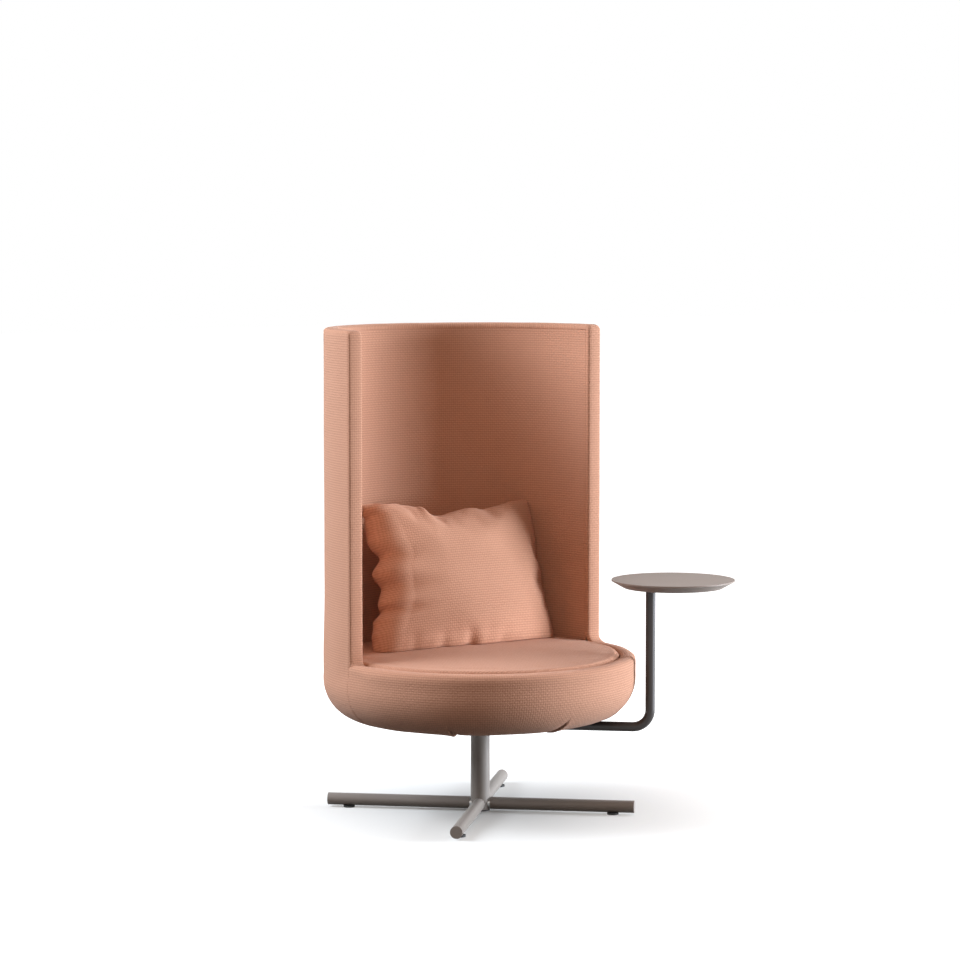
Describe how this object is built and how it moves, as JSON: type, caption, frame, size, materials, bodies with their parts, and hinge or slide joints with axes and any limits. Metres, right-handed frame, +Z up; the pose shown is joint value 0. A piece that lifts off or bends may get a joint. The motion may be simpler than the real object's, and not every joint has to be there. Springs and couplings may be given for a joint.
{
  "type": "swivel lounge chair",
  "caption": "High-backed round swivel lounge chair in woven fabric, on a star base, with a loose pillow and a round side table on a swinging arm.",
  "frame": {"origin": "on the floor under the column, on the swivel axis", "axes": "+Z up along the column; the chair faces -Y at rest; +X is to the sitter's left"},
  "size_m": [0.9196, 0.9196, 1.2642],
  "materials": {
    "taupe_metal": "satin",
    "dark_metal": "satin",
    "bright_steel": "satin",
    "black_plastic": "matte",
    "white_nylon": "satin",
    "plywood": "matte",
    "foam": "matte",
    "upholstery_fabric": "matte",
    "underside_cloth": "matte",
    "table_lacquer": "satin"
  },
  "bodies": {
    "base": {"column_tube": "taupe_metal", "column_head": "bright_steel", "upper_bush": "white_nylon", "lower_bearing_plug": "black_plastic", "lower_bush": "white_nylon", "hub_core": "bright_steel", "column_plug": "black_plastic", "leg_spigots": "bright_steel", "leg_grub_screws": "bright_steel", "bearing_lower_race": "bright_steel", "leg_rear_left": "taupe_metal", "leg_rear_right": "taupe_metal", "leg_front_right": "taupe_metal", "leg_front_left": "taupe_metal", "leg_cap_rear_left": "taupe_metal", "leg_cap_rear_right": "taupe_metal", "leg_cap_front_right": "taupe_metal", "leg_cap_front_left": "taupe_metal", "glide_rear_left": "black_plastic", "glide_rear_right": "black_plastic", "glide_front_right": "black_plastic", "glide_front_left": "black_plastic"},
    "bearing_cage": {"bearing_cage": "white_nylon", "bearing_balls": "bright_steel"},
    "seat": {"bearing_upper_race": "bright_steel", "swivel_plate": "bright_steel", "swivel_spindle": "bright_steel", "spindle_washer": "bright_steel", "spindle_circlip": "bright_steel", "hub_sleeve": "bright_steel", "collar_retaining_ring": "bright_steel", "plate_screws": "bright_steel", "tee_nuts": "bright_steel", "seat_base_panel": "plywood", "seat_riser_ring": "plywood", "seat_deck": "plywood", "seat_ring_frame": "plywood", "seat_front_foam": "foam", "seat_front_cover": "upholstery_fabric", "underside_cloth": "underside_cloth", "seat_pad": "upholstery_fabric", "back_core": "plywood", "core_screws": "bright_steel", "back_inner_foam": "foam", "back_outer_foam": "foam", "back_inner_cover": "upholstery_fabric", "back_outer_cover": "upholstery_fabric", "back_top_band": "upholstery_fabric", "back_edge_band_left": "upholstery_fabric", "back_edge_band_right": "upholstery_fabric"},
    "table_arm": {"arm_tube": "dark_metal", "arm_collar": "dark_metal", "collar_bush": "white_nylon", "collar_set_screw": "bright_steel", "pivot_bush": "white_nylon"},
    "table": {"table_top": "table_lacquer", "table_pivot": "bright_steel", "table_screws": "bright_steel"},
    "pillow": {"pillow": "upholstery_fabric"}
  },
  "joints": [
    {"name": "seat_swivel", "type": "hinge", "parent": "base", "child": "seat", "pos_m": [0, 0, 0.25], "axis": [0, 0, 1], "continuous": true},
    {"name": "cage_turn", "type": "hinge", "parent": "base", "child": "bearing_cage", "pos_m": [0, 0, 0.2436], "axis": [0, 0, 1], "continuous": true},
    {"name": "table_arm_swing", "type": "hinge", "parent": "seat", "child": "table_arm", "pos_m": [0, 0, 0.2312], "axis": [0, 0, 1], "range_deg": [-100, 10]},
    {"name": "table_top_turn", "type": "hinge", "parent": "table_arm", "child": "table", "pos_m": [0.31466, -0.31466, 0.588], "axis": [0, 0, 1], "continuous": true},
    {"name": "pillow_lift", "type": "slide", "parent": "seat", "child": "pillow", "axis": [0, 0, 1], "range_m": [0, 0.86]}
  ],
  "couplings": [
    {"joint": "cage_turn", "follows": "seat_swivel", "ratio": 0.5}
  ]
}
